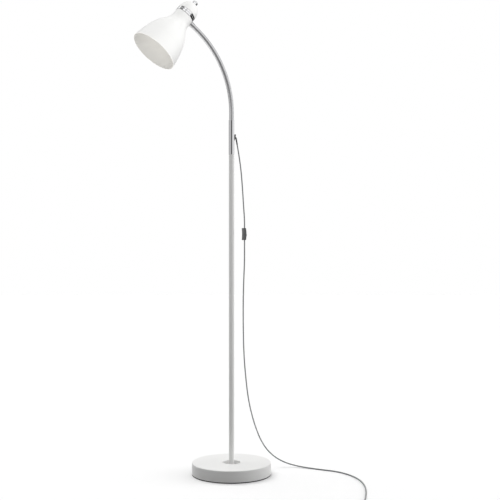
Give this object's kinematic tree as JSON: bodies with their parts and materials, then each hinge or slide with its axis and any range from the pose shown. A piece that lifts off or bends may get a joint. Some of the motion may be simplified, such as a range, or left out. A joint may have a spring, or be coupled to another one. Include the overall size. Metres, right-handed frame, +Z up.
{
  "type": "gooseneck reading floor lamp",
  "caption": "Floor lamp with a round weighted base, slim pole, bendable chrome gooseneck, bell shade that tilts and swings, side-exit lead with an inline rocker switch and plug.",
  "frame": {"origin": "centre of the base's underside, on the floor", "axes": "+Z up along the pole; the neck bends in the XZ plane towards -X; the lead leaves the chrome tube on the +X side"},
  "size_m": [0.6442, 0.7205, 1.4828],
  "materials": {
    "white_paint": "white powder coat, satin",
    "chrome": "bright chrome plate",
    "zinc_steel": "zinc plated",
    "concrete": "cast concrete filling",
    "black_rubber": "matt foam rubber pad",
    "lead_sleeve": "woven glass sleeve",
    "holder_plastic": "moulded thermoset",
    "porcelain": "unglazed porcelain",
    "brass": "stamped brass",
    "wire_sheath": "wire insulation",
    "cord_plastic": "grey flex sheath",
    "tie_plastic": "paper-covered tie",
    "switch_plastic": "dark grey moulded plastic",
    "nickel": "nickel plated pins"
  },
  "bodies": {
    "stand": {"base_foot_pad": "black_rubber", "base_bottom_plate": "zinc_steel", "base_weight": "concrete", "base_cover": "white_paint", "base_washer": "zinc_steel", "base_bolt": "zinc_steel", "pole_foot_insert": "zinc_steel", "pole_lower_tube": "white_paint", "pole_coupler": "zinc_steel", "pole_upper_tube": "white_paint", "neck_coupler": "zinc_steel", "neck_tube": "chrome", "neck_root": "chrome", "neck_lead_root": "lead_sleeve", "cord_grommet": "cord_plastic", "inner_flex": "cord_plastic", "cord_upper": "cord_plastic", "cord_lower": "cord_plastic", "cord_coil": "cord_plastic", "coil_tie": "tie_plastic", "switch_base": "switch_plastic", "switch_cover": "switch_plastic", "switch_screws": "zinc_steel", "switch_contacts": "brass", "plug_body": "switch_plastic", "plug_pins": "nickel"},
    "neck_1": {"neck_link_1": "chrome", "neck_lead_1": "lead_sleeve"},
    "neck_2": {"neck_link_2": "chrome", "neck_lead_2": "lead_sleeve"},
    "neck_3": {"neck_link_3": "chrome", "neck_lead_3": "lead_sleeve"},
    "neck_4": {"neck_link_4": "chrome", "neck_lead_4": "lead_sleeve"},
    "neck_5": {"neck_link_5": "chrome", "neck_lead_5": "lead_sleeve"},
    "neck_6": {"neck_link_6": "chrome", "neck_lead_6": "lead_sleeve"},
    "neck_7": {"neck_link_7": "chrome", "neck_lead_7": "lead_sleeve"},
    "head": {"neck_tip": "chrome", "neck_lead_tip": "lead_sleeve", "neck_collar": "chrome", "stem_nipple": "zinc_steel", "stem_nut": "zinc_steel", "shade": "white_paint", "shade_ring": "chrome", "cap": "white_paint", "finial": "chrome", "head_rod": "zinc_steel", "holder_bracket": "zinc_steel", "lampholder_cap": "holder_plastic", "lampholder_skirt": "holder_plastic", "lampholder_block": "porcelain", "screw_shell": "brass", "centre_contact": "brass", "terminal_screws": "brass", "head_wires": "wire_sheath"},
    "rocker": {"switch_rocker": "switch_plastic"}
  },
  "joints": [
    {"name": "neck_bend_1", "type": "hinge", "parent": "stand", "child": "neck_1", "pos_m": [0, 0, 1.124], "axis": [0, 1, 0], "range_deg": [-20, 20]},
    {"name": "neck_sway_1", "type": "hinge", "parent": "neck_1", "child": "neck_2", "pos_m": [-0.00056, 0, 1.16199], "axis": [0.9982, 0, 0.0593], "range_deg": [-20, 20]},
    {"name": "neck_bend_2", "type": "hinge", "parent": "neck_2", "child": "neck_3", "pos_m": [-0.00506, 0, 1.1997], "axis": [0, 1, 0], "range_deg": [-20, 20]},
    {"name": "neck_sway_2", "type": "hinge", "parent": "neck_3", "child": "neck_4", "pos_m": [-0.014, 0, 1.23661], "axis": [0.9563, 0, 0.2925], "range_deg": [-20, 20]},
    {"name": "neck_bend_3", "type": "hinge", "parent": "neck_4", "child": "neck_5", "pos_m": [-0.02724, 0, 1.2722], "axis": [0, 1, 0], "range_deg": [-20, 20]},
    {"name": "neck_sway_3", "type": "hinge", "parent": "neck_5", "child": "neck_6", "pos_m": [-0.04461, 0, 1.30598], "axis": [0.8606, 0, 0.5093], "range_deg": [-20, 20]},
    {"name": "neck_bend_4", "type": "hinge", "parent": "neck_6", "child": "neck_7", "pos_m": [-0.06586, 0, 1.33746], "axis": [0, 1, 0], "range_deg": [-20, 20]},
    {"name": "neck_sway_4", "type": "hinge", "parent": "neck_7", "child": "head", "pos_m": [-0.09069, 0, 1.36619], "axis": [0.7166, 0, 0.6975], "range_deg": [-20, 20]},
    {"name": "switch_rocker_turn", "type": "hinge", "parent": "stand", "child": "rocker", "pos_m": [0.04621, -0.00531, 0.7595], "axis": [0.4493, 0.8934, 0], "range_deg": [0, 14]}
  ]
}
